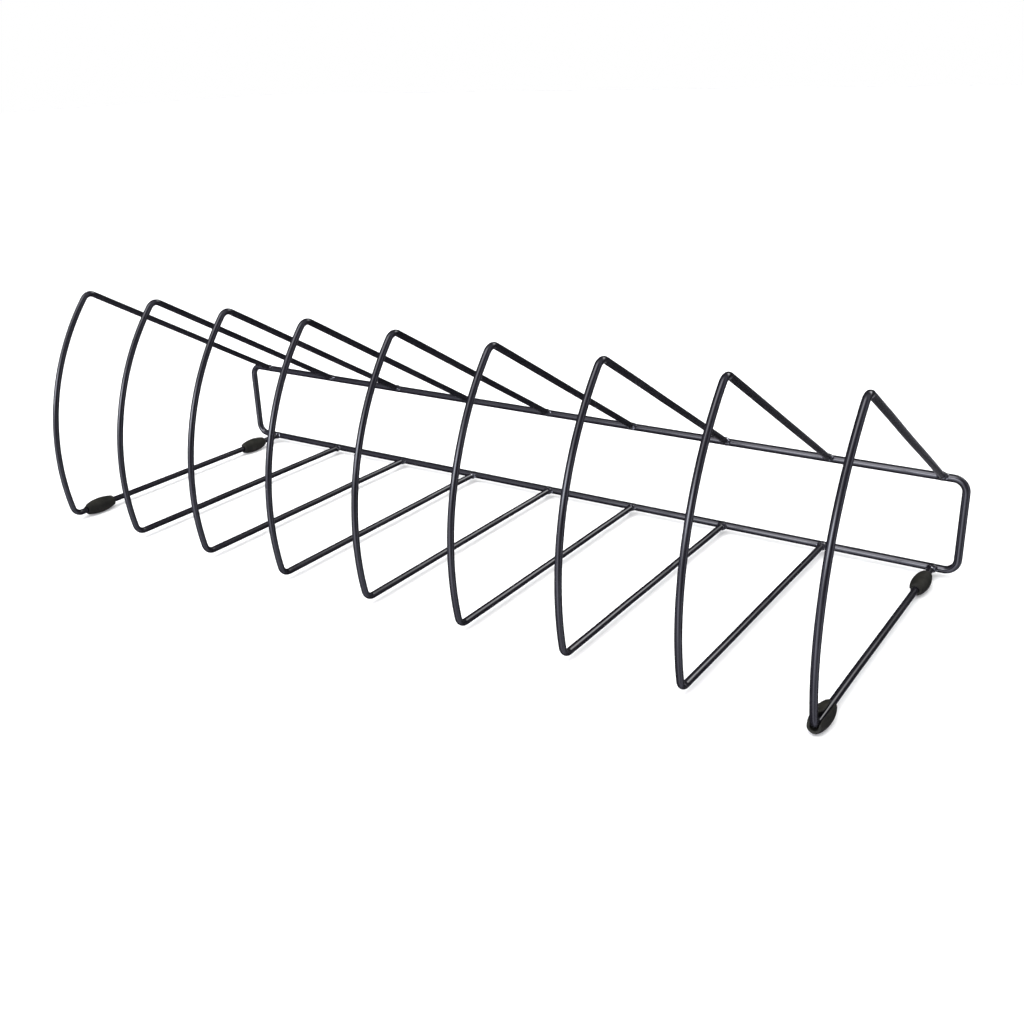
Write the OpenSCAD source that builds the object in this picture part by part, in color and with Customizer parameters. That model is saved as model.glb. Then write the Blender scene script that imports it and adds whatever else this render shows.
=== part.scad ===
// Plate display stand: a welded round-wire rack with eight upright slots.
// One closed rectangular wire frame stands upright at the back. Nine bent
// wire dividers reach forward from it, and four rubber sleeves under the two
// end dividers are its feet.
// Frame: +Z up, +X along the rack, -Y towards the front. The origin lies on
// the resting surface, under the middle of the stand's outer box.

/* [Rack] */
// Number of wire dividers along the rack
divider_count = 9; // [3:1:12]
// Distance between two neighbouring dividers, centre to centre
divider_pitch = 70; // [40:1:110]
// Distance from the left end divider to the rear frame's left side wire, centre to centre
left_overhang = 21.5; // [13:0.5:40]
// Distance from the right end divider to the rear frame's right side wire, centre to centre
right_overhang = 14.5; // [13:0.5:40]

/* [Wire] */
// Diameter of the rear frame's wire
frame_wire_d = 5; // [4:0.1:7]
// Diameter of the dividers' wire
divider_wire_d = 4.2; // [3:0.1:4.6]

/* [Rear frame] */
// Height between the lower and the upper rail, centre to centre
rail_gap = 60; // [45:0.5:90]
// Bend radius of the frame's four corners, on the wire's centreline
frame_bend_r = 8; // [6:0.5:12]

/* [Divider shape] */
// How far forward the upper corner stands, before it is rounded
top_reach = 169; // [145:0.5:190]
// Height of the upper corner above the lower rail, before it is rounded
top_rise = 156.5; // [130:0.5:190]
// How far forward the lower corner stands, before it is rounded
bottom_reach = 211; // [195:0.5:240]
// How far the curved front bows out from the straight line between its corners
front_bow = 21; // [10:0.5:30]
// Bend radius of both front corners, on the wire's centreline
divider_bend_r = 7; // [5:0.5:12]

/* [Feet] */
// Length of a rubber foot
foot_len = 23; // [18:0.5:32]
// Diameter of a rubber foot at its middle
foot_mid_d = 11; // [9.5:0.1:14]
// Diameter of a rubber foot at its blunt ends
foot_end_d = 7.4; // [6.8:0.1:8]
// Rounding of the edges of a foot's blunt ends
foot_edge_r = 0.5; // [0.2:0.1:0.6]
// Depth of the flat that the foot rests on
foot_flat = 0.35; // [0.2:0.05:0.6]
// Width of the slit that lets the sleeve snap over the wire
foot_slit_w = 2; // [0.8:0.1:2.6]
// Middle of the front left foot, measured forward from the rear frame
front_left_at = 189.5; // [170:0.5:190]
// Middle of the front right foot, measured forward from the rear frame
front_right_at = 199.5; // [170:0.5:200]
// Middle of the rear left foot, measured forward from the rear frame
rear_left_at = 31; // [21:0.5:60]
// Middle of the rear right foot, measured forward from the rear frame
rear_right_at = 26; // [20.5:0.5:60]

/* [Welds] */
// Radius of the weld nugget where a divider's end meets a rail
weld_r = 2.9; // [2.8:0.05:3.2]
// Height of the bead where the frame's wire ends are butt welded together
butt_bead_h = 0.35; // [0.2:0.05:0.6]
// Place of the butt weld along the lower rail, measured from its middle
butt_weld_at = -84; // [-95:1:-75]

/* [Hidden] */
$fn = 64;

black_coat = [0.10, 0.10, 0.13];
black_rubber = [0.16, 0.16, 0.14];

frame_r = frame_wire_d / 2;
wire_r = divider_wire_d / 2;
half_run = divider_pitch * (divider_count - 1) / 2;
half_frame = half_run + (left_overhang + right_overhang) / 2;
// The dividers' middle, measured from the frame's middle.
run_shift = (left_overhang - right_overhang) / 2;

// Side profile of a divider, in the Y-Z plane. The lower rail's centre is
// [0, 0] and the front lies towards -Y. Radii are kept to a thousandth of a
// millimetre and angles to a thousandth of a degree.
up_pt = [0, rail_gap];
top_pt = [-top_reach, top_rise];
bot_pt = [-bottom_reach, 0];

// Circle of the curved front, through both corners.
half_chord = norm(top_pt - bot_pt) / 2;
front_r = to_step((half_chord * half_chord + front_bow * front_bow) / (2 * front_bow), 0.001);
chord_dir = (bot_pt - top_pt) / (2 * half_chord);
bow_dir = [chord_dir[1], -chord_dir[0]];
front_c = (top_pt + bot_pt) / 2 - bow_dir * (front_r - front_bow);

// Lower bend: touches the bottom wire and the inside of the curved front.
inner_r = front_r - divider_bend_r;
low_a = to_step(180 - asin((divider_bend_r - front_c[1]) / inner_r), 0.001);
low_c = front_c + inner_r * dir(low_a);

// Upper bend: touches the sloping top wire and the inside of the curved front.
slope_a = to_step(atan2(top_pt[1] - up_pt[1], top_pt[0] - up_pt[0]), 0.001);
slope_gap = (up_pt - front_c) * dir(slope_a - 90) - divider_bend_r;
top_a = to_step(slope_a - 90 + acos(slope_gap / inner_r), 0.001);
top_c = front_c + inner_r * dir(top_a);
slope_start = top_c + divider_bend_r * dir(slope_a - 90);
slope_len = to_step(norm(slope_start - up_pt), 0.001);

// Place in the stand's own frame.
back_most = frame_r + butt_bead_h;
box_depth = front_r - front_c[0] + wire_r + back_most;
frame_y = to_step(box_depth / 2 - back_most, 0.001);
rail_z = foot_mid_d / 2 - foot_flat;

// Barrel outline of a foot: one circle through the ends and the middle.
foot_drop = (foot_mid_d - foot_end_d) / 2;
foot_half = foot_len / 2;
barrel_r = (foot_half * foot_half + foot_drop * foot_drop) / (2 * foot_drop);

function to_step(v, step) = round(v / step) * step;

function dir(a) = [cos(a), sin(a)];

function divider_x(i) = run_shift - half_run + (i - 1) * divider_pitch;

// Turns a drawing in the X-Y plane into the Y-Z plane, with X as thickness.
module side_plane() {
    rotate([90, 0, 90]) children();
}

// Moves to a point in a coarse and a fine step, so that neighbouring lengths
// of wire meet face to face.
module place(p) {
    coarse = [to_step(p[0], 0.001), to_step(p[1], 0.001)];
    translate([coarse[0], coarse[1], 0])
        translate([p[0] - coarse[0], p[1] - coarse[1], 0]) children();
}

// Turns by an angle in a coarse and a fine step, for the same reason.
module turn(a) {
    coarse = [to_step(cos(a), 0.000001), to_step(sin(a), 0.000001)];
    rotate([0, 0, a])
        rotate([0, 0, a - atan2(coarse[1], coarse[0])]) children();
}

// A bent length of round wire: part of a ring, from angle a0 to angle a1.
module bend(c, r, a0, a1, d) {
    place(c)
        rotate_extrude(angle = to_step(a1 - a0, 0.001), start = a0)
            translate([r, 0]) circle(d = d);
}

// A straight length of round wire, from point p in direction a.
module run(p, a, len, d) {
    place(p) turn(a) rotate([0, 90, 0]) cylinder(d = d, h = len);
}

// The wire of one divider, before its ends are cut to the rails.
module divider_wire() {
    side_plane() {
        run(slope_start, slope_a - 180, slope_len, divider_wire_d);
        bend(top_c, divider_bend_r, slope_a - 90, top_a, divider_wire_d);
        bend(front_c, front_r, top_a, low_a, divider_wire_d);
        bend(low_c, divider_bend_r, low_a, 270, divider_wire_d);
        run([low_c[0], low_c[1] - divider_bend_r], 0,
            to_step(-low_c[0], 0.001), divider_wire_d);
    }
}

// The straight length of one rail, a little longer than one divider's reach.
module rail_at(z) {
    translate([-12, 0, z]) rotate([0, 90, 0]) cylinder(d = frame_wire_d, h = 24);
}

module divider(i) {
    color(black_coat)
        translate([divider_x(i), frame_y, rail_z])
            difference() {
                divider_wire();
                rail_at(0);
                rail_at(rail_gap);
            }
}

module rear_frame() {
    cx = half_frame - frame_bend_r;
    cz = rail_gap - frame_bend_r;
    side = rail_gap - 2 * frame_bend_r;
    color(black_coat)
        translate([0, frame_y, rail_z])
            rotate([90, 0, 0]) {
                run([-cx, 0], 0, 2 * cx, frame_wire_d);
                bend([cx, frame_bend_r], frame_bend_r, 270, 360, frame_wire_d);
                run([half_frame, frame_bend_r], 90, side, frame_wire_d);
                bend([cx, cz], frame_bend_r, 0, 90, frame_wire_d);
                run([-cx, rail_gap], 0, 2 * cx, frame_wire_d);
                bend([-cx, cz], frame_bend_r, 90, 180, frame_wire_d);
                run([-half_frame, frame_bend_r], 90, side, frame_wire_d);
                bend([-cx, frame_bend_r], frame_bend_r, 180, 270, frame_wire_d);
            }
}

// The bead of the butt weld that closes the frame, on the lower rail.
module frame_butt_weld() {
    bead_r = 0.9;
    color(black_coat)
        translate([butt_weld_at, frame_y, rail_z])
            rotate([0, 90, 0])
                difference() {
                    rotate_extrude()
                        translate([frame_r + butt_bead_h - bead_r, 0]) circle(r = bead_r);
                    translate([0, 0, -3]) cylinder(d = frame_wire_d, h = 6);
                }
}

// One weld nugget, on a wire that leaves the rail in direction a.
module weld(z, a) {
    translate([0, frame_y, rail_z + z])
        rotate([a, 0, 0])
            difference() {
                translate([0, -frame_r, 0]) sphere(r = weld_r);
                translate([-6, 0, 0]) rotate([0, 90, 0]) cylinder(d = frame_wire_d, h = 12);
                rotate([90, 0, 0]) cylinder(d = divider_wire_d, h = 12);
            }
}

module upper_welds() {
    color(black_coat)
        for (i = [1 : divider_count])
            translate([divider_x(i), 0, 0]) weld(rail_gap, slope_a - 180);
}

module lower_welds() {
    color(black_coat)
        for (i = [1 : divider_count])
            translate([divider_x(i), 0, 0]) weld(0, 0);
}

// Half outline of a foot, as radius against length.
module foot_outline() {
    intersection() {
        translate([foot_mid_d / 2 - barrel_r, 0]) circle(r = barrel_r, $fn = 180);
        union() {
            translate([0, -foot_half]) square([foot_end_d / 2 - foot_edge_r, foot_len]);
            translate([0, -foot_half + foot_edge_r])
                square([foot_mid_d, foot_len - 2 * foot_edge_r]);
        }
    }
}

// A rubber sleeve on the bottom wire of divider i. roll turns its slit away
// from straight up, towards +X.
module foot(i, at, roll) {
    color(black_rubber)
        translate([divider_x(i), frame_y, rail_z])
            difference() {
                translate([0, -at, 0])
                    rotate([90, 0, 0]) rotate_extrude() foot_outline();
                translate([-foot_mid_d, -at - foot_len, -foot_mid_d - rail_z])
                    cube([2 * foot_mid_d, 2 * foot_len, foot_mid_d]);
                translate([0, -at, 0]) rotate([0, roll, 0])
                    translate([-foot_slit_w / 2, -foot_len, 0])
                        cube([foot_slit_w, 2 * foot_len, foot_mid_d]);
                divider_wire();
            }
}

module divider_1() { divider(1); }
module divider_2() { divider(2); }
module divider_3() { divider(3); }
module divider_4() { divider(4); }
module divider_5() { divider(5); }
module divider_6() { divider(6); }
module divider_7() { divider(7); }
module divider_8() { divider(8); }
module divider_9() { divider(9); }
module foot_front_left() { foot(1, front_left_at, -45); }
module foot_front_right() { foot(divider_count, front_right_at, 30); }
module foot_rear_left() { foot(1, rear_left_at, -60); }
module foot_rear_right() { foot(divider_count, rear_right_at, -105); }

rear_frame();
frame_butt_weld();
divider_1();
divider_2();
divider_3();
divider_4();
divider_5();
divider_6();
divider_7();
divider_8();
divider_9();
upper_welds();
lower_welds();
foot_front_left();
foot_front_right();
foot_rear_left();
foot_rear_right();
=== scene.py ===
import math

import bpy
import numpy as np
from mathutils import Matrix, Vector


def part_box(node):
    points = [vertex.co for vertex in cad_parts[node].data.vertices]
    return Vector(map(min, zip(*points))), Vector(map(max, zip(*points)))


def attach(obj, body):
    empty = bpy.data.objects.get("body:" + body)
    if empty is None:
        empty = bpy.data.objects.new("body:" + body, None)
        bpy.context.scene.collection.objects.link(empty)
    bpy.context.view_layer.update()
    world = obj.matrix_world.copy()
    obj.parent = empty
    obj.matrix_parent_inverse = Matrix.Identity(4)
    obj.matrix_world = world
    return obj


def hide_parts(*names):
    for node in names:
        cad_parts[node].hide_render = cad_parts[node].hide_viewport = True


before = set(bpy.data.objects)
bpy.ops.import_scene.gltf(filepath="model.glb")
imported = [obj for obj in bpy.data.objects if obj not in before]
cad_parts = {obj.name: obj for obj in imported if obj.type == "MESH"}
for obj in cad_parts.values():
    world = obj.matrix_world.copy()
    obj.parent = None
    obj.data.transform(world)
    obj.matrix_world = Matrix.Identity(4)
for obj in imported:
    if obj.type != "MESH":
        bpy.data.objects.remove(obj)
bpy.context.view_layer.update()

MM = 0.001

# ---------------------------------------------------------------- design
# Shape of one divider, in millimetres, in its own side plane: y runs back
# from the front, z runs up, and [0, 0] is the lower rail's centre.
TOP = np.array([-169.0, 156.5])
BOT = np.array([-211.0, 0.0])
BOW = 21.0
BEND = 7.0
CORNER = 8.0

DIVIDERS = ["divider_%d" % i for i in range(1, 10)]
FEET = {
    # name: (direction of the slit from straight up, towards +X, seed)
    "foot_front_left": (-45.0, 3),
    "foot_front_right": (30.0, 5),
    "foot_rear_left": (-60.0, 7),
    "foot_rear_right": (-105.0, 11),
}

fr_low, fr_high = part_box("rear_frame")
FRAME_R = (fr_high.y - fr_low.y) / MM / 2
FRAME_Y = (fr_high.y + fr_low.y) / MM / 2
FRAME_HALF = (fr_high.x - fr_low.x) / MM / 2 - FRAME_R
RAIL_Z = fr_low.z / MM + FRAME_R
RAIL_GAP = (fr_high.z - fr_low.z) / MM - 2 * FRAME_R
d_low, d_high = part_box("divider_5")
WIRE_R = (d_high.x - d_low.x) / MM / 2
X_OF = {}
for name in DIVIDERS:
    lo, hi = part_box(name)
    X_OF[name] = (lo.x + hi.x) / MM / 2


def unit(a):
    return np.array([math.cos(math.radians(a)), math.sin(math.radians(a))])


def profile():
    """Centres and radii of the divider's bends, as part.scad works them out."""
    up = np.array([0.0, RAIL_GAP])
    half = np.linalg.norm(TOP - BOT) / 2
    front_r = (half * half + BOW * BOW) / (2 * BOW)
    chord = (BOT - TOP) / (2 * half)
    bow = np.array([chord[1], -chord[0]])
    front_c = (TOP + BOT) / 2 - bow * (front_r - BOW)
    inner = front_r - BEND
    low_a = 180 - math.degrees(math.asin((BEND - front_c[1]) / inner))
    low_c = front_c + inner * unit(low_a)
    slope_a = math.degrees(math.atan2(TOP[1] - up[1], TOP[0] - up[0]))
    gap = float((up - front_c) @ unit(slope_a - 90)) - BEND
    top_a = slope_a - 90 + math.degrees(math.acos(gap / inner))
    top_c = front_c + inner * unit(top_a)
    return dict(up=up, front_r=front_r, front_c=front_c, low_a=low_a, low_c=low_c,
                slope_a=slope_a, top_a=top_a, top_c=top_c)


P = profile()


# ---------------------------------------------------------------- mesh tools
def make_mesh(name, verts, faces, smooth=True):
    mesh = bpy.data.meshes.new(name)
    mesh.from_pydata([tuple(v) for v in np.asarray(verts, float) * MM], [], faces)
    mesh.validate()
    mesh.update()
    if smooth:
        mesh.shade_smooth()
    ob = bpy.data.objects.new(name, mesh)
    bpy.context.scene.collection.objects.link(ob)
    return ob


def ripple(seed, count, wave_min, wave_max):
    """A smooth, seeded wobble of a distance along a wire, about -1 to 1."""
    rng = np.random.default_rng(seed)
    k = 2 * math.pi / rng.uniform(wave_min, wave_max, count)
    ph = rng.uniform(0, 2 * math.pi, count)
    am = rng.uniform(0.4, 1.0, count)
    am = am / am.sum()

    def f(s):
        s = np.asarray(s, float)
        return sum(a * np.sin(kk * s + p) for a, kk, p in zip(am, k, ph))
    return f


def arc(c, r, a0, a1, step):
    n = max(2, int(math.ceil(abs(a1 - a0) / step)))
    out = []
    for i in range(n + 1):
        a = a0 + (a1 - a0) * i / n
        out.append((c + r * unit(a), a))
    return out


def divider_path():
    """Points and tangents in the side plane, from the upper rail round the front
    to the lower rail, with how tightly each point is bent (0 straight, 1 bend)."""
    pts, tans, tight = [], [], []

    def add(p, t, b):
        if pts and np.linalg.norm(pts[-1] - p) < 1e-6:
            return
        pts.append(np.array(p, float))
        tans.append(np.array(t, float) / np.linalg.norm(t))
        tight.append(b)

    fwd = unit(P["slope_a"])
    start = P["top_c"] + BEND * unit(P["slope_a"] - 90)
    length = float(np.linalg.norm(start - P["up"]))
    first = FRAME_R + 1.6
    for s in [first, first + 1.2, first + 3.0]:
        add(P["up"] + fwd * s, fwd, 0)
    n = int((length - first - 3.0) / 5.0)
    for i in range(1, n + 1):
        add(P["up"] + fwd * (first + 3.0 + (length - first - 3.0) * i / n), fwd, 0)
    # the wire turns with rising angle all the way round the front
    for p, a in arc(P["top_c"], BEND, P["slope_a"] - 90, P["top_a"], 5.0):
        add(p, unit(a + 90), 1)
    for p, a in arc(P["front_c"], P["front_r"], P["top_a"], P["low_a"], 1.0):
        add(p, unit(a + 90), 0)
    for p, a in arc(P["low_c"], BEND, P["low_a"], 270, 5.0):
        add(p, unit(a + 90), 1)
    bottom = P["low_c"] + BEND * unit(270)
    run = -bottom[0]
    n = int((run - first - 3.0) / 5.0)
    for i in range(1, n + 1):
        add(bottom + np.array([1.0, 0]) * ((run - first - 3.0) * i / n), (1, 0), 0)
    for s in [first + 1.2, first]:
        add((-s, bottom[1]), (1, 0), 0)
    return np.array(pts), np.array(tans), np.array(tight, float)


def divider_mesh(name, seed, sides=32):
    x = X_OF[name]
    pts, tans, tight = divider_path()
    # the flattening of the wire in a tight bend fades in over a few rings
    for _ in range(3):
        tight = np.convolve(np.pad(tight, 1, mode="edge"), [0.25, 0.5, 0.25], "valid")
    seg = np.linalg.norm(np.diff(pts, axis=0), axis=1)
    s = np.concatenate([[0], np.cumsum(seg)])
    total = s[-1]
    # a coated wire is never perfectly straight: a few hundredths of a
    # millimetre of bow, none at the welded ends
    fade = np.clip(np.minimum(s, total - s) / 25.0, 0, 1)
    fade = fade * fade * (3 - 2 * fade)
    side = ripple(seed, 4, 60, 210)(s) * 0.16 * fade
    inout = ripple(seed + 40, 4, 60, 190)(s) * 0.08 * fade
    thick = 1 + 0.004 * ripple(seed + 80, 5, 9, 40)(s)
    phi = np.arange(sides) * 2 * math.pi / sides
    normal = np.stack([tans[:, 1], -tans[:, 0]], 1)
    verts = []

    def ring(c, nrm, rr, sq, dx, dn, shift=None, t=None):
        out = []
        for k, f in enumerate(phi):
            a = rr * math.cos(f) * (1 - 0.030 * sq)
            b = rr * math.sin(f) * (1 + 0.016 * sq)
            q = c + nrm * (a + dn)
            if shift is not None:
                q = q + t * shift[k]
            out.append((x + b + dx, FRAME_Y + q[0], RAIL_Z + q[1]))
        return out

    def saddle(centre, out_dir, nrm, scale):
        """A ring where the wire ends on the rail, just under the rail's skin."""
        rr = WIRE_R * scale
        lam = np.sqrt(np.maximum(FRAME_R ** 2 - (rr * np.cos(phi)) ** 2, 0)) - 0.06
        return ring(centre, nrm, rr, 0, 0, 0, lam, out_dir)

    fwd = unit(P["slope_a"])
    up = P["up"]
    zero = np.array([0.0, 0.0])
    caps = [1.0, 0.66, 0.33]
    rings = []
    for c in reversed(caps):
        rings.append(saddle(up, fwd, normal[0], c))
    for i in range(len(pts)):
        rings.append(ring(pts[i], normal[i], WIRE_R * thick[i], tight[i], side[i], inout[i]))
    for c in caps:
        rings.append(saddle(zero, np.array([-1.0, 0.0]), normal[-1], c))
    for r in rings:
        verts.extend(r)
    n = len(rings)
    faces = []
    for i in range(n - 1):
        for k in range(sides):
            a, b = i * sides + k, i * sides + (k + 1) % sides
            faces.append((a, b, b + sides, a + sides))
    lam0 = FRAME_R - 0.06
    c0 = up + fwd * lam0
    verts.append((x, FRAME_Y + c0[0], RAIL_Z + c0[1]))
    verts.append((x, FRAME_Y - lam0, RAIL_Z))
    a0, a1 = len(verts) - 2, len(verts) - 1
    for k in range(sides):
        faces.append((a0, (k + 1) % sides, k))
        base = (n - 1) * sides
        faces.append((a1, base + k, base + (k + 1) % sides))
    return outward(make_mesh(name + "_wire", verts, faces))


def outward(ob):
    """Turns every face outward."""
    import bmesh
    bm = bmesh.new()
    bm.from_mesh(ob.data)
    bmesh.ops.recalc_face_normals(bm, faces=bm.faces)
    bm.to_mesh(ob.data)
    bm.free()
    return ob


def frame_mesh(sides=36):
    cx = FRAME_HALF - CORNER
    top = RAIL_GAP - CORNER
    loop = []

    def straight(p, q, step):
        d = np.linalg.norm(q - p)
        n = max(1, int(round(d / step)))
        for i in range(n):
            loop.append((p + (q - p) * i / n, (q - p) / d, 0.0))

    def corner(c, a0, a1):
        items = arc(np.array(c), CORNER, a0, a1, 5.0)
        for p, a in items[:-1]:
            loop.append((p, unit(a + 90), 1.0))

    straight(np.array([-cx, 0.0]), np.array([cx, 0.0]), 6.0)
    corner([cx, CORNER], 270, 360)
    straight(np.array([FRAME_HALF, CORNER]), np.array([FRAME_HALF, top]), 6.0)
    corner([cx, top], 0, 90)
    straight(np.array([cx, RAIL_GAP]), np.array([-cx, RAIL_GAP]), 6.0)
    corner([-cx, top], 90, 180)
    straight(np.array([-FRAME_HALF, top]), np.array([-FRAME_HALF, CORNER]), 6.0)
    corner([-cx, CORNER], 180, 270)

    pts = np.array([p for p, _, _ in loop])
    tans = np.array([t for _, t, _ in loop])
    tight = np.array([b for _, _, b in loop])
    for _ in range(3):
        tight = 0.25 * np.roll(tight, 1) + 0.5 * tight + 0.25 * np.roll(tight, -1)
    s = np.arange(len(loop)) * 6.0
    thick = 1 + 0.003 * np.sin(2 * math.pi * s * 9 / s[-1]) * np.sin(2 * math.pi * s * 31 / s[-1])
    phi = np.arange(sides) * 2 * math.pi / sides
    verts, faces = [], []
    for i in range(len(loop)):
        nrm = np.array([tans[i][1], -tans[i][0]])
        for f in phi:
            a = FRAME_R * thick[i] * math.cos(f) * (1 - 0.030 * tight[i])
            b = FRAME_R * thick[i] * math.sin(f) * (1 + 0.016 * tight[i])
            q = pts[i] + nrm * a
            verts.append((q[0], FRAME_Y + b, RAIL_Z + q[1]))
    n = len(loop)
    for i in range(n):
        j = (i + 1) % n
        for k in range(sides):
            m = (k + 1) % sides
            faces.append((i * sides + k, i * sides + m, j * sides + m, j * sides + k))
    return outward(make_mesh("rear_frame_wire", verts, faces))


# ---------------------------------------------------------------- welds
def ball(level):
    """Directions and faces of a finely divided icosphere."""
    import bmesh
    bm = bmesh.new()
    bmesh.ops.create_icosphere(bm, subdivisions=level, radius=1.0)
    v = np.array([list(p.co) for p in bm.verts])
    f = [[p.index for p in face.verts] for face in bm.faces]
    bm.free()
    return v / np.linalg.norm(v, axis=1)[:, None], f


def smin(a, b, k):
    h = np.clip(0.5 + 0.5 * (b - a) / k, 0, 1)
    return b + (a - b) * h - k * h * (1 - h)


def step01(a, b, v):
    t = np.clip((v - a) / (b - a), 0, 1)
    return t * t * (3 - 2 * t)


def lumps(seed, count=9, k_min=1.2, k_max=3.4):
    rng = np.random.default_rng(seed)
    d = rng.normal(size=(count, 3))
    d /= np.linalg.norm(d, axis=1)[:, None]
    k = rng.uniform(k_min, k_max, count)
    ph = rng.uniform(0, 2 * math.pi, count)
    am = rng.uniform(0.4, 1.0, count) / k
    am /= am.sum()

    def f(p):
        return sum(a * np.sin(kk * (p @ dd) + q) for a, kk, dd, q in zip(am, k, d, ph))
    return f


BALL_V, BALL_F = ball(5)


def weld_shell(seed):
    """One weld, in millimetres, on axes u along the rail, w out along the
    wire and v across both, from the rail's centre."""
    rng = np.random.default_rng(seed)
    c = np.array([0.0, 0.0, FRAME_R - 0.2])
    reach = 5.0
    blob_c = np.array([rng.uniform(-0.35, 0.35), rng.uniform(-0.25, 0.25), FRAME_R - 0.05])
    blob_r = rng.uniform(2.50, 2.72)
    squash = np.array([rng.uniform(0.86, 0.98), 1.0, rng.uniform(1.15, 1.4)])
    noise = lumps(seed + 900)
    fine = lumps(seed + 950, 12, 3.0, 6.5)
    # a squeezed-out bead on one side of the joint
    turn = rng.uniform(0, 2 * math.pi)
    bead_c = np.array([2.1 * math.cos(turn), 2.2 * math.sin(turn), FRAME_R - 0.1 + 0.45 * abs(math.cos(turn))])
    bead_r = rng.uniform(0.55, 0.8)

    def field(p):
        rail = np.sqrt(p[:, 1] ** 2 + p[:, 2] ** 2) - FRAME_R
        back = np.minimum(p[:, 2], 0)
        wire = np.sqrt(p[:, 0] ** 2 + p[:, 1] ** 2 + back ** 2) - WIRE_R
        q = (p - blob_c) * squash
        blob = np.linalg.norm(q, axis=1) - blob_r
        bead = np.linalg.norm(p - bead_c, axis=1) - bead_r
        near = 1 - step01(2.7, 4.5, np.linalg.norm(p - c, axis=1))
        body = smin(rail, wire, 1.5)
        body = smin(body, blob, 0.7)
        body = smin(body, bead, 0.8)
        lift = -0.10 + near * (0.12 + 0.17 * noise(p) + 0.05 * fine(p))
        return body - lift

    rad = np.zeros(len(BALL_V))
    done = np.zeros(len(BALL_V), bool)
    steps = np.linspace(0.3, reach, 95)
    last = steps[0]
    for r in steps:
        val = field(c + BALL_V * r)
        hit = (val > 0) & ~done
        if hit.any():
            lo = np.full(hit.sum(), last)
            hi = np.full(hit.sum(), r)
            dirs = BALL_V[hit]
            for _ in range(14):
                mid = (lo + hi) / 2
                inside = field(c + dirs * mid[:, None]) < 0
                lo = np.where(inside, mid, lo)
                hi = np.where(inside, hi, mid)
            rad[hit] = (lo + hi) / 2
            done |= hit
        last = r
    rad[~done] = reach
    return c + BALL_V * rad[:, None]


def weld_mesh(name, height, angle, seed):
    """All nine welds along one rail. angle is the wire's direction in the side plane."""
    d = unit(angle)
    nrm = np.array([d[1], -d[0]])
    verts, faces = [], []
    for i, div in enumerate(DIVIDERS):
        p = weld_shell(seed + i)
        yz = p[:, 1:2] * nrm[None, :] + p[:, 2:3] * d[None, :]
        pts = np.stack([X_OF[div] + p[:, 0], FRAME_Y + yz[:, 0], RAIL_Z + height + yz[:, 1]], 1)
        base = len(verts)
        verts.extend(pts.tolist())
        faces.extend([[base + k for k in f] for f in BALL_F])
    return outward(make_mesh(name, verts, faces))


def butt_mesh():
    """The low ring bead that closes the frame's wire, uneven round the wire."""
    lo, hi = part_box("frame_butt_weld")
    x0 = (lo.x + hi.x) / MM / 2
    half_w = (hi.x - lo.x) / MM / 2
    height = (hi.z - lo.z) / MM / 2 - FRAME_R
    n_round, n_across = 96, 15
    wob = ripple(71, 5, 1.4, 5.2)
    wob2 = ripple(72, 5, 1.0, 4.0)
    verts, faces = [], []
    for i in range(n_round):
        a = 2 * math.pi * i / n_round
        arc_len = a * FRAME_R
        close = 1 - math.cos(a)
        k = 0.5 * (1 - math.cos(min(a, 2 * math.pi - a) * 4)) if min(a, 2 * math.pi - a) < math.pi / 4 else 1.0
        w = half_w * (1.0 + 0.12 * float(wob(arc_len)) * k)
        h = height * (0.78 + 0.20 * float(wob2(arc_len)) * k)
        for j in range(n_across):
            t = -1 + 2 * j / (n_across - 1)
            r = FRAME_R - 0.05 + (h + 0.05) * (1 - t * t) ** 0.8
            verts.append((x0 + w * t, FRAME_Y + r * math.sin(a), RAIL_Z + r * math.cos(a)))
    # the underside lies just inside the wire, so that the bead is a closed ring
    base = len(verts)
    for i in range(n_round):
        a = 2 * math.pi * i / n_round
        for t in (-0.6, 0.0, 0.6):
            r = FRAME_R - 0.35
            verts.append((x0 + half_w * t, FRAME_Y + r * math.sin(a), RAIL_Z + r * math.cos(a)))
    for i in range(n_round):
        j = (i + 1) % n_round
        for k in range(n_across - 1):
            faces.append((i * n_across + k, i * n_across + k + 1, j * n_across + k + 1, j * n_across + k))
        for k in range(2):
            faces.append((base + i * 3 + k, base + j * 3 + k, base + j * 3 + k + 1, base + i * 3 + k + 1))
        faces.append((i * n_across, j * n_across, base + j * 3, base + i * 3))
        faces.append((i * n_across + n_across - 1, base + i * 3 + 2, base + j * 3 + 2, j * n_across + n_across - 1))
    return outward(make_mesh("frame_butt_weld_bead", verts, faces))


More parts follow.
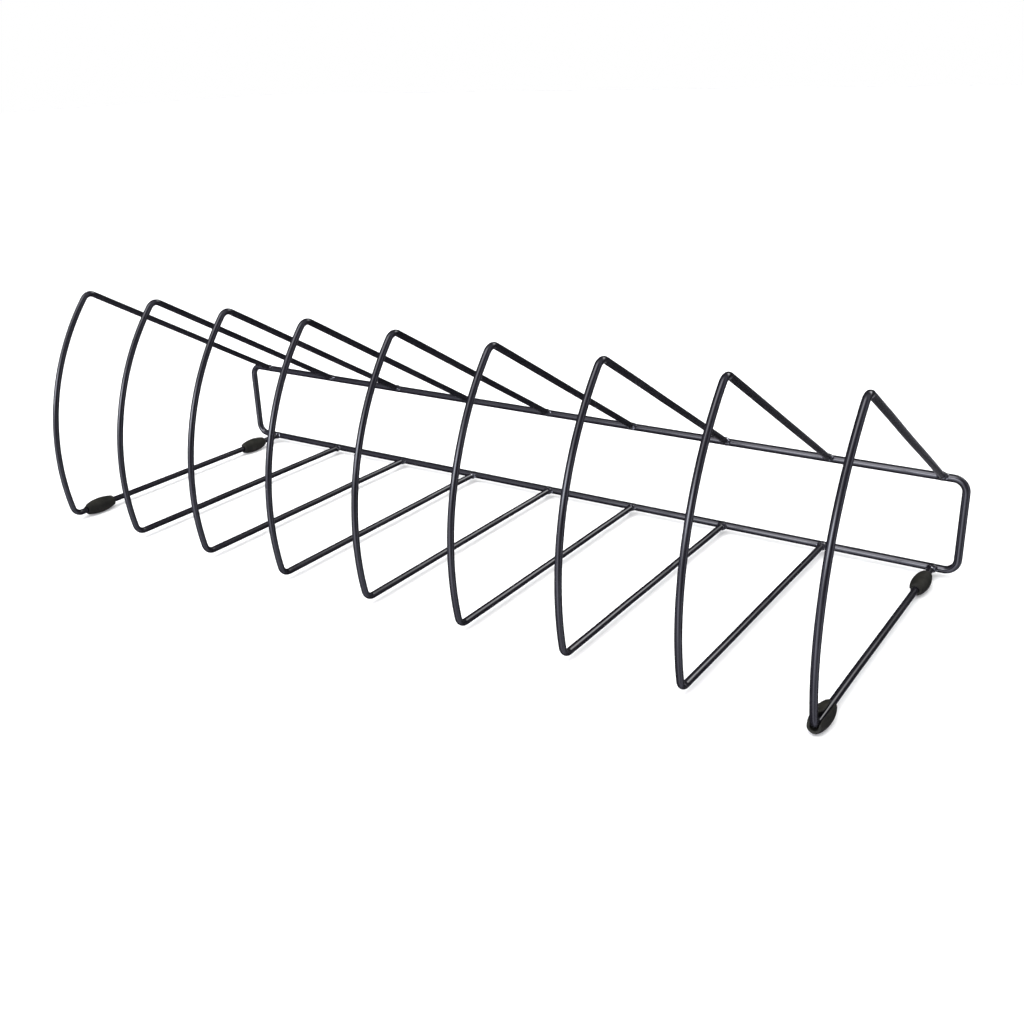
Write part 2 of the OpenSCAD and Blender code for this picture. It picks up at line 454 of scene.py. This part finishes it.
# ---------------------------------------------------------------- feet
def foot_mesh(node, roll, seed):
    """A slit rubber sleeve: a barrel outside, a bore for the wire, rounded
    lips along the slit, a mould line and a small worn flat underneath. A
    sleeve that reaches into the wire's front bend is spread open round it."""
    lo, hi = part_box(node)
    x0 = (lo.x + hi.x) / MM / 2
    y0, y1 = lo.y / MM, hi.y / MM
    length = y1 - y0
    mid_r = RAIL_Z + 0.35
    end_r = 3.7
    drop = mid_r - end_r
    half = length / 2
    barrel = (half * half + drop * drop) / (2 * drop)
    bore = WIRE_R + 0.015
    edge = 0.55
    lip = 0.42
    gap_wob = ripple(seed, 3, 9, 24)
    lobes = ripple(seed + 20, 3, 8, 20)
    n_arc = 84
    # stations along the sleeve, closer together at the rounded ends
    st = []
    for t in np.linspace(0, 90, 7):
        st.append(edge * (1 - math.cos(math.radians(t))))
    ends = list(st)
    inner = list(np.linspace(edge, length - edge, 47))[1:-1]
    stations = ends + inner + [length - v for v in reversed(ends)]
    ring_pts = []
    # how far the front end reaches into the bend
    bend_y = FRAME_Y + P["low_c"][0]
    into = max(0.0, bend_y - y0 - 2.0)
    base_roll = roll
    for s in stations:
        y = y0 + s
        z = s - half
        spread = float(1 - step01(into - 1.0, into + 6.5, s)) if into > 0 else 0.0
        roll = base_roll * (1 - 0.80 * spread)
        r = mid_r - barrel + math.sqrt(barrel * barrel - z * z)
        e = min(s, length - s)
        if e < edge:
            r = r - edge + math.sqrt(max(edge * edge - (edge - e) ** 2, 0))
        bore_s = bore
        if e < 0.25:
            bore_s = bore + 0.25 - math.sqrt(max(0.0625 - (0.25 - e) ** 2, 0))
        h = 1.0 + 0.08 * float(gap_wob(s)) + 0.10 * (1 - abs(z) / half)
        h = h + (WIRE_R + 0.22 - h) * spread
        lp = min(lip, (r - bore_s) * 0.45)
        outer, wall_a, wall_b, inner_arc = [], [], [], []

        def at(rho, ang):
            a = math.radians(roll) + ang
            return (x0 + rho * math.sin(a), y, RAIL_Z + rho * math.cos(a))

        def at_wall(side, across, out):
            # a point given by its distance across the slit and out from the axis
            a = math.radians(roll)
            ux, uz = math.sin(a), math.cos(a)
            vx, vz = math.cos(a), -math.sin(a)
            return (x0 + out * ux + side * across * vx, y, RAIL_Z + out * uz + side * across * vz)

        # outer skin from one lip round to the other
        # the lip's rounding centre sits lp inside both the skin and the wall
        rc = r - lp
        across_c = h + lp
        out_c = math.sqrt(max(rc * rc - across_c * across_c, 0.01))
        a_start = math.atan2(across_c, out_c)
        for i in range(n_arc + 1):
            ang = a_start + (2 * math.pi - 2 * a_start) * i / n_arc
            line = 0.09 * math.exp(-((abs(ang - math.pi)) * r / 0.28) ** 2)
            wide = 1 + 0.006 * float(lobes(s + ang * 3.0)) * math.sin(ang / 2) ** 2
            outer.append(at(r * wide + line, ang))
        # lip rounding, wall and bore edge, on both sides of the slit
        for side, wall in ((1, wall_a), (-1, wall_b)):
            for k in range(1, 6):
                # from the skin's normal to the wall's normal
                f = k / 6
                ang0 = math.atan2(across_c, out_c)
                ang1 = -math.pi / 2
                ang = ang0 + (ang1 - ang0) * f
                wall.append(at_wall(side, across_c + lp * math.sin(ang), out_c + lp * math.cos(ang)))
            b = 0.22
            inner_out = math.sqrt(max((bore_s + b) ** 2 - (h + b) ** 2, 0.01))
            for k in range(0, 3):
                f = k / 2
                o = out_c + (inner_out - out_c) * f
                wall.append(at_wall(side, h, o))
            for k in range(1, 4):
                f = k / 4
                ang = -math.pi / 2 - f * (math.pi / 2 + math.atan2(h + b, inner_out) * -1)
                wall.append(at_wall(side, (h + b) + b * math.sin(ang), inner_out + b * math.cos(ang)))
        a_in = math.atan2(h + 0.22, math.sqrt(max((bore_s + 0.22) ** 2 - (h + 0.22) ** 2, 0.01)))
        for i in range(n_arc + 1):
            ang = a_in + (2 * math.pi - 2 * a_in) * i / n_arc
            inner_arc.append(at(bore_s, ang))
        ring_pts.append((outer, wall_a, wall_b, inner_arc))
    n_w = len(ring_pts[0][1])
    verts, faces = [], []
    for outer, wa, wb, inn in ring_pts:
        # one closed loop: skin, far wall inwards, bore back, near wall outwards
        loop = outer + wb + list(reversed(inn)) + list(reversed(wa))
        verts.extend(loop)
    per = (n_arc + 1) * 2 + 2 * n_w
    v = np.array(verts)
    v[:, 2] = np.maximum(v[:, 2], 0.0)
    n = len(ring_pts)
    for i in range(n - 1):
        for k in range(per):
            m = (k + 1) % per
            faces.append((i * per + k, i * per + m, (i + 1) * per + m, (i + 1) * per + k))
    for i in (0, n - 1):
        b = i * per
        o = lambda k: b + k
        inn = lambda k: b + (n_arc + 1) + n_w + (n_arc - k)
        for k in range(n_arc):
            faces.append((o(k), o(k + 1), inn(k + 1), inn(k)))
        faces.append(tuple([o(n_arc)] + [b + n_arc + 1 + k for k in range(n_w)] + [inn(n_arc)]))
        faces.append(tuple([inn(0)] + [b + 2 * (n_arc + 1) + n_w + k for k in range(n_w)] + [o(0)]))
    return outward(make_mesh(node + "_sleeve", v, faces))


# ---------------------------------------------------------------- materials
def new_material(name):
    mat = bpy.data.materials.new(name)
    mat.use_nodes = True
    nt = mat.node_tree
    nt.nodes.clear()
    out = nt.nodes.new("ShaderNodeOutputMaterial")
    bsdf = nt.nodes.new("ShaderNodeBsdfPrincipled")
    nt.links.new(bsdf.outputs["BSDF"], out.inputs["Surface"])
    return mat, nt, bsdf


def noise_node(nt, coord, scale, detail, rough=0.5, distortion=0.0):
    n = nt.nodes.new("ShaderNodeTexNoise")
    n.inputs["Scale"].default_value = scale
    n.inputs["Detail"].default_value = detail
    n.inputs["Roughness"].default_value = rough
    n.inputs["Distortion"].default_value = distortion
    nt.links.new(coord, n.inputs["Vector"])
    return n.outputs["Fac"]


def ramp(nt, fac, stops):
    r = nt.nodes.new("ShaderNodeValToRGB")
    el = r.color_ramp.elements
    el[0].position, el[0].color = stops[0][0], (*stops[0][1], 1)
    el[1].position, el[1].color = stops[-1][0], (*stops[-1][1], 1)
    for pos, col in stops[1:-1]:
        e = el.new(pos)
        e.color = (*col, 1)
    nt.links.new(fac, r.inputs["Fac"])
    return r.outputs["Color"]


def to_range(nt, fac, a0, a1, b0, b1):
    m = nt.nodes.new("ShaderNodeMapRange")
    m.inputs["From Min"].default_value = a0
    m.inputs["From Max"].default_value = a1
    m.inputs["To Min"].default_value = b0
    m.inputs["To Max"].default_value = b1
    nt.links.new(fac, m.inputs["Value"])
    return m.outputs["Result"]


def add_bump(nt, bsdf, heights):
    last = None
    for fac, strength, dist in heights:
        b = nt.nodes.new("ShaderNodeBump")
        b.inputs["Strength"].default_value = strength
        b.inputs["Distance"].default_value = dist
        nt.links.new(fac, b.inputs["Height"])
        if last is not None:
            nt.links.new(last, b.inputs["Normal"])
        last = b.outputs["Normal"]
    nt.links.new(last, bsdf.inputs["Normal"])


def coating_material(name, weld=False):
    """Glossy black coat with a slight orange peel. On a weld the coat is
    thinner and a few small bright flecks of the joint show through it."""
    mat, nt, bsdf = new_material(name)
    tc = nt.nodes.new("ShaderNodeTexCoord")
    co = tc.outputs["Object"]
    cloud = noise_node(nt, co, 38, 4, 0.55)
    peel = noise_node(nt, co, 620, 2, 0.5)
    grain = noise_node(nt, co, 2600, 2, 0.6)
    col = ramp(nt, cloud, [(0.32, (0.0066, 0.0062, 0.0084)), (0.55, (0.0100, 0.0094, 0.0122)), (0.72, (0.0146, 0.0138, 0.0172))])
    speck = ramp(nt, grain, [(0.70, (0, 0, 0)), (0.78, (1, 1, 1))])
    mix = nt.nodes.new("ShaderNodeMix")
    mix.data_type = "RGBA"
    mix.inputs["B"].default_value = (0.030, 0.030, 0.036, 1)
    nt.links.new(speck, mix.inputs["Factor"])
    nt.links.new(col, mix.inputs["A"])
    base = mix.outputs["Result"]
    if weld:
        fleck = ramp(nt, noise_node(nt, co, 520, 1, 0.4), [(0.600, (0, 0, 0)), (0.650, (1, 1, 1))])
        bare = nt.nodes.new("ShaderNodeMix")
        bare.data_type = "RGBA"
        bare.inputs["B"].default_value = (0.50, 0.51, 0.54, 1)
        nt.links.new(fleck, bare.inputs["Factor"])
        nt.links.new(base, bare.inputs["A"])
        nt.links.new(fleck, bsdf.inputs["Metallic"])
        base = bare.outputs["Result"]
    nt.links.new(base, bsdf.inputs["Base Color"])
    rough = to_range(nt, noise_node(nt, co, 95, 4, 0.6), 0.3, 0.7, 0.07, 0.12)
    nt.links.new(rough, bsdf.inputs["Roughness"])
    bsdf.inputs["IOR"].default_value = 1.5
    bsdf.inputs["Coat Weight"].default_value = 0.12
    bsdf.inputs["Coat Roughness"].default_value = 0.06
    bsdf.inputs["Coat IOR"].default_value = 1.5
    add_bump(nt, bsdf, [(peel, 0.16, 0.00010), (grain, 0.06, 0.00004)])
    return mat


def rubber_material():
    mat, nt, bsdf = new_material("black_foot_rubber")
    tc = nt.nodes.new("ShaderNodeTexCoord")
    co = tc.outputs["Object"]
    cloud = noise_node(nt, co, 120, 4, 0.6)
    grain = noise_node(nt, co, 1900, 3, 0.65)
    dust = noise_node(nt, co, 420, 5, 0.7)
    col = ramp(nt, cloud, [(0.32, (0.0070, 0.0070, 0.0052)), (0.50, (0.0115, 0.0112, 0.0082)), (0.70, (0.0200, 0.0195, 0.0150))])
    mask = ramp(nt, dust, [(0.60, (0, 0, 0)), (0.80, (0.35, 0.35, 0.35))])
    mix = nt.nodes.new("ShaderNodeMix")
    mix.data_type = "RGBA"
    mix.inputs["B"].default_value = (0.045, 0.043, 0.034, 1)
    nt.links.new(mask, mix.inputs["Factor"])
    nt.links.new(col, mix.inputs["A"])
    nt.links.new(mix.outputs["Result"], bsdf.inputs["Base Color"])
    rough = to_range(nt, noise_node(nt, co, 260, 3, 0.6), 0.3, 0.7, 0.56, 0.74)
    nt.links.new(rough, bsdf.inputs["Roughness"])
    bsdf.inputs["IOR"].default_value = 1.48
    bsdf.inputs["Specular IOR Level"].default_value = 0.26
    add_bump(nt, bsdf, [(grain, 0.35, 0.00008), (dust, 0.15, 0.00010)])
    return mat


def floor_material():
    mat, nt, bsdf = new_material("pale_floor")
    tc = nt.nodes.new("ShaderNodeTexCoord")
    f = noise_node(nt, tc.outputs["Object"], 3.0, 4, 0.5)
    col = ramp(nt, f, [(0.3, (0.86, 0.86, 0.86)), (0.7, (0.88, 0.88, 0.88))])
    nt.links.new(col, bsdf.inputs["Base Color"])
    bsdf.inputs["Roughness"].default_value = 0.9
    bsdf.inputs["Specular IOR Level"].default_value = 0.1
    bsdf.inputs["Emission Color"].default_value = (1, 1, 1, 1)
    bsdf.inputs["Emission Strength"].default_value = 0.16
    return mat


# ---------------------------------------------------------------- build
coating = coating_material("black_wire_coating")
weld_coating = coating_material("black_weld_coating", weld=True)
rubber = rubber_material()


def settle(ob, mat, slot, *nodes):
    ob.data.materials.clear()
    ob.data.materials.append(mat)
    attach(ob, "root")
    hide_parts(*nodes)
    return ob


for i, name in enumerate(DIVIDERS):
    settle(divider_mesh(name, 100 + i), coating, "wire_coating", name)
settle(frame_mesh(), coating, "wire_coating", "rear_frame")
settle(weld_mesh("upper_weld_beads", RAIL_GAP, P["slope_a"], 210), weld_coating, "wire_coating", "upper_welds")
settle(weld_mesh("lower_weld_beads", 0.0, 180.0, 310), weld_coating, "wire_coating", "lower_welds")
settle(butt_mesh(), coating, "wire_coating", "frame_butt_weld")
for name, (roll, seed) in FEET.items():
    settle(foot_mesh(name, roll, seed), rubber, "foot_rubber", name)

# ---------------------------------------------------------------- stage
size = 8.0
floor_mesh = bpy.data.meshes.new("pale_floor")
floor_mesh.from_pydata([(-size, -size, -0.0002), (size, -size, -0.0002), (size, size, -0.0002), (-size, size, -0.0002)], [], [(0, 1, 2, 3)])
floor_mesh.update()
floor = bpy.data.objects.new("pale_floor", floor_mesh)
bpy.context.scene.collection.objects.link(floor)
floor.data.materials.append(floor_material())


# Soft light fields round the stand: direction of the middle (degrees round
# from +X, degrees up), turn, two widths, strength and tint.
LOBES = [
    (-96.5, 15.9, 6.4, 0.310, 0.205, 10.4, (0.940, 0.968, 1.090)),
    (-109.9, 30.0, 4.0, 0.110, 0.500, 3.9, (0.980, 0.975, 1.045)),
    (-90.0, -18.9, 59.5, 0.220, 0.560, 2.3, (0.930, 0.945, 1.125)),
    (8.0, -6.8, -12.0, 0.270, 1.000, 1.25, (0.915, 0.930, 1.155)),
    (-106.1, 63.4, 90.0, 0.385, 0.319, 4.7, (0.975, 0.965, 1.060)),
    (69.6, 35.5, 30.6, 0.260, 0.140, 5.6, (0.994, 0.993, 1.014)),
    (-147.8, -7.4, -19.3, 0.169, 0.374, 1.3, (0.870, 0.910, 1.220)),
    (-87.0, -41.5, -68.3, 0.470, 0.227, 1.7, (0.935, 0.945, 1.120)),
    (92.0, -27.0, 0.0, 0.300, 0.280, 0.45, (0.970, 0.960, 1.070)),
]
DARK = 0.010
FLOOR_LIGHT = 1.15


def studio_world():
    """A dark room with soft light fields. Behind the stand the camera sees plain white."""
    world = bpy.data.worlds.new("studio")
    world.use_nodes = True
    nt = world.node_tree
    nt.nodes.clear()

    def node(kind, **sockets):
        n = nt.nodes.new(kind)
        for k, v in sockets.items():
            n.inputs[k].default_value = v
        return n

    def math_node(op, a, b=None):
        n = nt.nodes.new("ShaderNodeMath")
        n.operation = op
        for i, v in enumerate((a, b)):
            if v is None:
                continue
            if isinstance(v, (int, float)):
                n.inputs[i].default_value = v
            else:
                nt.links.new(v, n.inputs[i])
        return n.outputs[0]

    coord = node("ShaderNodeTexCoord").outputs["Generated"]

    def dot(axis):
        n = nt.nodes.new("ShaderNodeVectorMath")
        n.operation = "DOT_PRODUCT"
        nt.links.new(coord, n.inputs[0])
        n.inputs[1].default_value = axis
        return n.outputs["Value"]

    total = None
    for az_, el_, turn, su, sv, amp, tint in LOBES:
        a, e, t = math.radians(az_), math.radians(el_), math.radians(turn)
        c = np.array([math.cos(e) * math.cos(a), math.cos(e) * math.sin(a), math.sin(e)])
        u = np.array([-math.sin(a), math.cos(a), 0.0])
        v = np.cross(c, u)
        u2 = u * math.cos(t) + v * math.sin(t)
        v2 = v * math.cos(t) - u * math.sin(t)
        pu = math_node("POWER", math_node("ABSOLUTE", math_node("DIVIDE", dot(u2), su)), 2.0)
        pv = math_node("POWER", math_node("ABSOLUTE", math_node("DIVIDE", dot(v2), sv)), 2.0)
        g = math_node("EXPONENT", math_node("MULTIPLY", math_node("ADD", pu, pv), -1.0))
        front = nt.nodes.new("ShaderNodeMapRange")
        front.inputs["From Min"].default_value = -0.05
        front.inputs["From Max"].default_value = 0.20
        nt.links.new(dot(c), front.inputs["Value"])
        w = math_node("MULTIPLY", math_node("MULTIPLY", g, front.outputs["Result"]), amp)
        col = nt.nodes.new("ShaderNodeVectorMath")
        col.operation = "SCALE"
        col.inputs[0].default_value = tint
        nt.links.new(w, col.inputs["Scale"])
        if total is None:
            total = col.outputs["Vector"]
        else:
            s_ = nt.nodes.new("ShaderNodeVectorMath")
            s_.operation = "ADD"
            nt.links.new(total, s_.inputs[0])
            nt.links.new(col.outputs["Vector"], s_.inputs[1])
            total = s_.outputs["Vector"]
    dark = nt.nodes.new("ShaderNodeVectorMath")
    dark.operation = "ADD"
    nt.links.new(total, dark.inputs[0])
    dark.inputs[1].default_value = (DARK, DARK, DARK)
    room = node("ShaderNodeBackground", Strength=1.0)
    nt.links.new(dark.outputs["Vector"], room.inputs["Color"])
    # what falls on matt surfaces is the same light without its tint
    grey = nt.nodes.new("ShaderNodeRGBToBW")
    nt.links.new(dark.outputs["Vector"], grey.inputs["Color"])
    matt = node("ShaderNodeBackground", Strength=FLOOR_LIGHT)
    nt.links.new(grey.outputs["Val"], matt.inputs["Color"])
    plain = node("ShaderNodeBackground", Strength=1.0)
    plain.inputs["Color"].default_value = (1, 1, 1, 1)
    path = node("ShaderNodeLightPath")
    lit = node("ShaderNodeMixShader")
    nt.links.new(path.outputs["Is Diffuse Ray"], lit.inputs["Fac"])
    nt.links.new(room.outputs["Background"], lit.inputs[1])
    nt.links.new(matt.outputs["Background"], lit.inputs[2])
    mix = node("ShaderNodeMixShader")
    nt.links.new(path.outputs["Is Camera Ray"], mix.inputs["Fac"])
    nt.links.new(lit.outputs["Shader"], mix.inputs[1])
    nt.links.new(plain.outputs["Background"], mix.inputs[2])
    out = node("ShaderNodeOutputWorld")
    nt.links.new(mix.outputs["Shader"], out.inputs["Surface"])
    bpy.context.scene.world = world


def soft_panel(name, loc, target, sx, sy, radiance):
    """A large soft panel that lights matt surfaces and shows in no reflection."""
    data = bpy.data.lights.new(name, "AREA")
    data.shape = "RECTANGLE"
    data.size, data.size_y = sx, sy
    data.energy = radiance * math.pi * sx * sy
    ob = bpy.data.objects.new(name, data)
    ob.location = loc
    d = Vector(target) - Vector(loc)
    ob.rotation_euler = d.to_track_quat("-Z", "Y").to_euler()
    ob.visible_glossy = False
    ob.visible_camera = False
    bpy.context.scene.collection.objects.link(ob)
    return ob


studio_world()
soft_panel("overhead_panel", (0.0, 0.0, 1.5), (0, 0, 0), 3.2, 3.2, 1.25)
bpy.context.scene.view_settings.view_transform = "Standard"
floor.visible_glossy = False

# ---------------------------------------------------------------- camera
az, el, rl = math.radians(34.2992), math.radians(21.9618), math.radians(-1.9759)
back = Vector((math.sin(az) * math.cos(el), -math.cos(az) * math.cos(el), math.sin(el)))
right = (-back).cross(Vector((0, 0, 1))).normalized()
up = right.cross(-back)
r2 = right * math.cos(rl) + up * math.sin(rl)
u2 = -right * math.sin(rl) + up * math.cos(rl)
cam_data = bpy.data.cameras.new("camera")
cam_data.sensor_width = 36.0
cam_data.lens = 40.082
cam_data.clip_start = 0.02
cam = bpy.data.objects.new("camera", cam_data)
m = Matrix((
    (r2.x, u2.x, back.x, 0.430163),
    (r2.y, u2.y, back.y, -0.56916),
    (r2.z, u2.z, back.z, 0.310619),
    (0, 0, 0, 1),
))
cam.matrix_world = m
bpy.context.scene.collection.objects.link(cam)
bpy.context.scene.camera = cam
